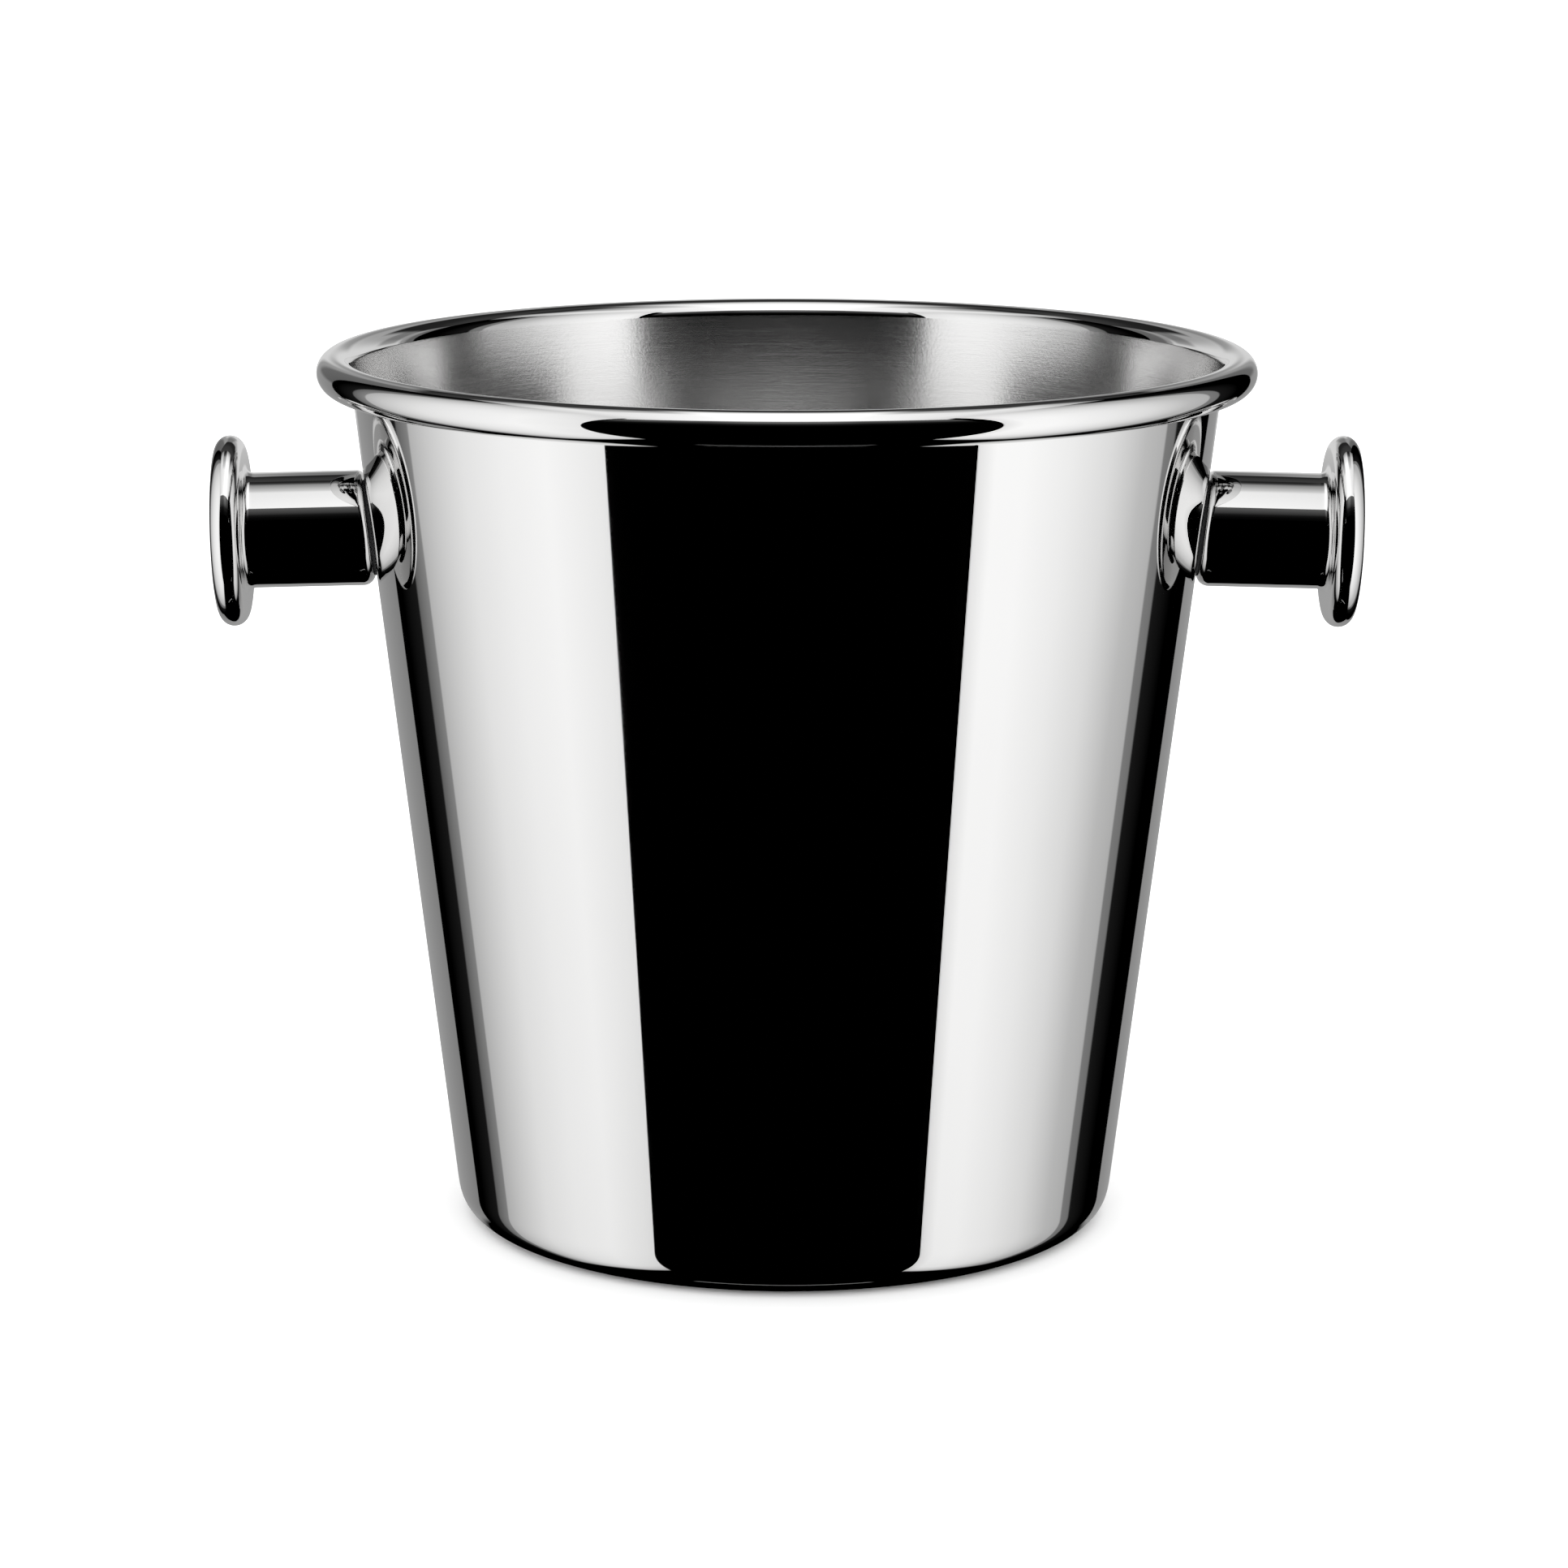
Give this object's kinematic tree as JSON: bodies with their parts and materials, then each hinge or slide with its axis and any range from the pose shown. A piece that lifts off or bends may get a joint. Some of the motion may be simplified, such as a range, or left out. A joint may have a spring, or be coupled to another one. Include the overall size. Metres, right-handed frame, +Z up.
{
  "type": "champagne bucket",
  "caption": "Tapered polished-steel champagne bucket with a rolled rim, a satin inside and round-disc knob handles on short stems.",
  "frame": {"origin": "middle of the base, at the level of the surface that the bucket stands on", "axes": "+Z up along the bucket's own axis, handles along X, -Y is the side that faces a viewer"},
  "size_m": [0.2568, 0.21, 0.198],
  "materials": {
    "polished_steel": "mirror-polished stainless steel outside and on the rim, satin brushed inside the bucket",
    "satin_steel": "satin stainless steel fixings",
    "silicone": "matt dark grey food-grade silicone"
  },
  "bodies": {
    "root": {"bucket_shell": "polished_steel", "left_stem": "polished_steel", "right_stem": "polished_steel", "left_end_disc": "polished_steel", "right_end_disc": "polished_steel", "left_wall_gasket": "silicone", "right_wall_gasket": "silicone", "left_inner_seal": "silicone", "right_inner_seal": "silicone", "left_saddle_washer": "satin_steel", "right_saddle_washer": "satin_steel", "left_clamp_screw": "satin_steel", "right_clamp_screw": "satin_steel"}
  },
  "joints": []
}
